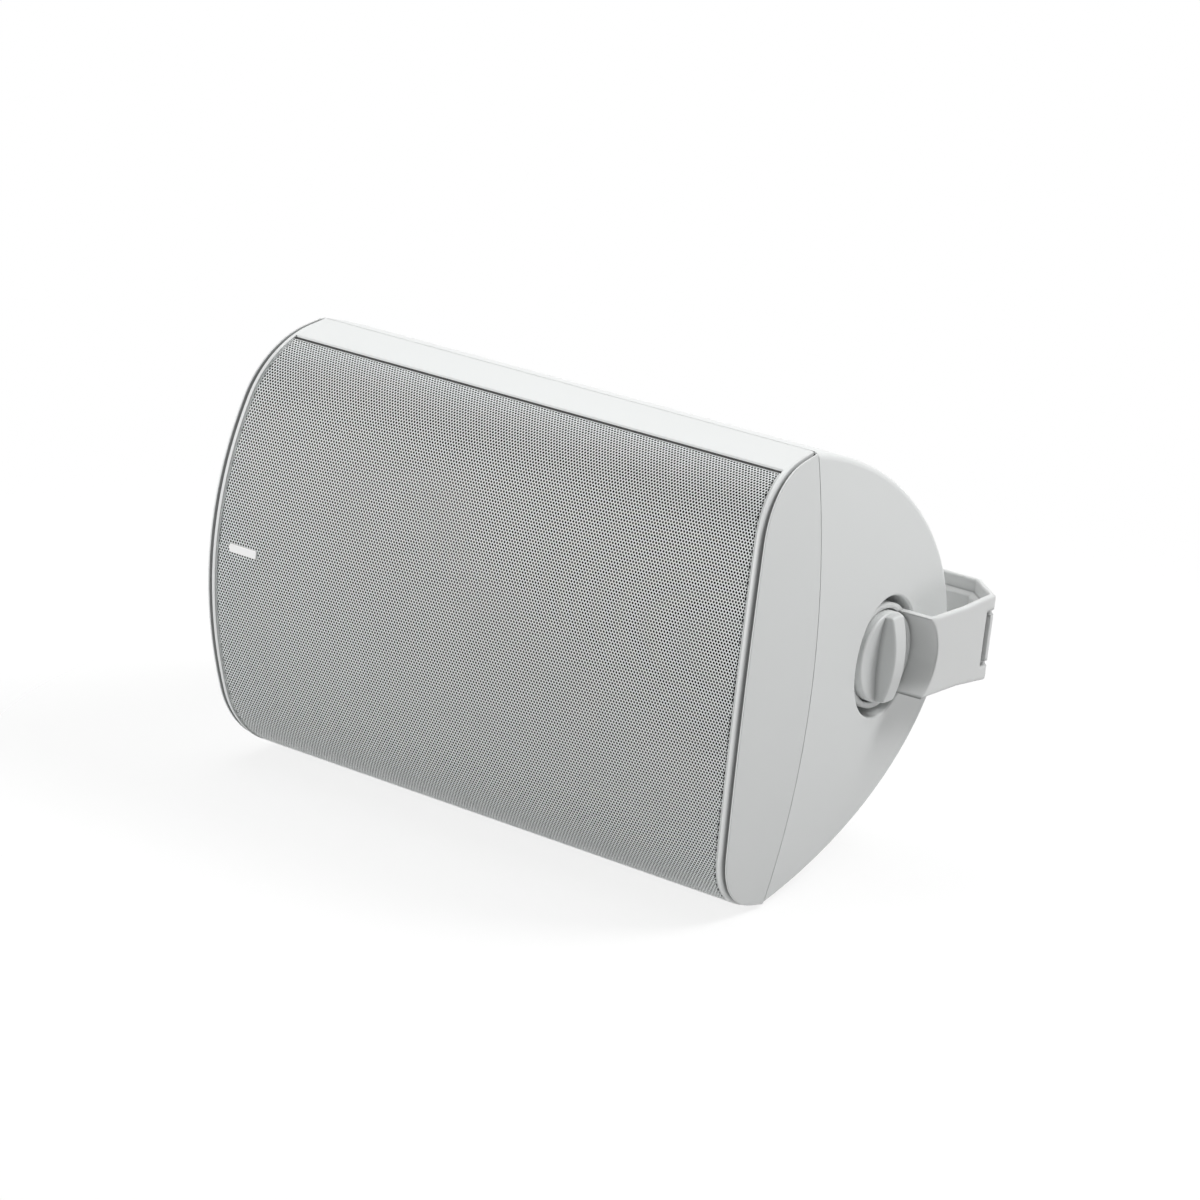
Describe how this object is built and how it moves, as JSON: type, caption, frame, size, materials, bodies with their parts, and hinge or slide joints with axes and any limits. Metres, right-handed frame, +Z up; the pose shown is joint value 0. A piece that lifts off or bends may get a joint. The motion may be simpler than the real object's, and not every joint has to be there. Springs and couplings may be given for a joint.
{
  "type": "outdoor patio speaker",
  "caption": "Two-way outdoor loudspeaker with barrel-shaped ends, a curved perforated grille and a tilting U-shaped wall bracket locked by side knobs.",
  "frame": {"origin": "middle of the bracket's wall face, between the two wall slots", "axes": "+X along the cabinet, +Y towards the wall, +Z up; the grille faces -Y"},
  "size_m": [0.353, 0.2352, 0.232],
  "materials": {
    "white_body": "satin moulded resin",
    "white_grille": "powder-coated perforated sheet",
    "white_bracket": "satin powder coat on cast aluminium",
    "white_knob": "satin moulded resin",
    "pale_plate": "satin",
    "seal": "matte",
    "cloth": "matte weave",
    "basket": "glass-filled resin",
    "surround": "satin",
    "cone": "coated polymer",
    "spider": "resin-dipped weave",
    "copper": "enamelled winding",
    "steel": "zinc plated",
    "ferrite": "sintered",
    "black_plastic": "satin",
    "dome": "anodised",
    "board": "laminate",
    "capacitor": "wrapped film",
    "brass": "turned",
    "red_post": "moulded cap",
    "black_post": "moulded cap",
    "padding": "bonded wadding",
    "stainless": "bright",
    "nylon": "moulded"
  },
  "bodies": {
    "bracket": {"wall_bracket": "white_bracket"},
    "cabinet": {"rear_cabinet": "white_body", "front_frame": "white_body", "cabinet_gasket": "seal", "grille": "white_grille", "grille_cloth": "cloth", "grille_seal": "seal", "name_plate": "pale_plate", "woofer_basket": "basket", "woofer_front_plate": "steel", "woofer_magnet": "ferrite", "woofer_pole_plate": "steel", "woofer_surround": "surround", "woofer_spider": "spider", "tweeter_faceplate": "black_plastic", "tweeter_dome": "dome", "tweeter_motor": "steel", "terminal_plate": "black_plastic", "terminal_post_red": "red_post", "terminal_post_black": "black_post", "crossover_board": "board", "crossover_coils": "copper", "crossover_capacitors": "capacitor", "damping_pad": "padding", "pivot_inserts": "brass", "pivot_washers": "nylon", "frame_screws": "stainless", "woofer_screws": "stainless", "tweeter_screws": "stainless", "board_screws": "stainless"},
    "woofer_diaphragm": {"woofer_cone": "cone", "woofer_dust_cap": "cone", "woofer_voice_coil": "copper"},
    "left_knob": {"knob_left": "white_knob", "stud_left": "stainless"},
    "right_knob": {"knob_right": "white_knob", "stud_right": "stainless"}
  },
  "joints": [
    {"name": "cabinet_tilt", "type": "hinge", "parent": "bracket", "child": "cabinet", "pos_m": [0, -0.097, 0], "axis": [1, 0, 0], "range_deg": [-70, 70]},
    {"name": "left_knob_turn", "type": "hinge", "parent": "cabinet", "child": "left_knob", "pos_m": [-0.155, -0.097, 0], "axis": [1, 0, 0], "continuous": true},
    {"name": "right_knob_turn", "type": "hinge", "parent": "cabinet", "child": "right_knob", "pos_m": [0.155, -0.097, 0], "axis": [1, 0, 0], "continuous": true},
    {"name": "woofer_stroke", "type": "slide", "parent": "cabinet", "child": "woofer_diaphragm", "axis": [0, 1, 0], "range_m": [-0.004, 0.004], "stiffness_N_per_m": 1500, "deforming": ["woofer_surround", "woofer_spider"]}
  ]
}
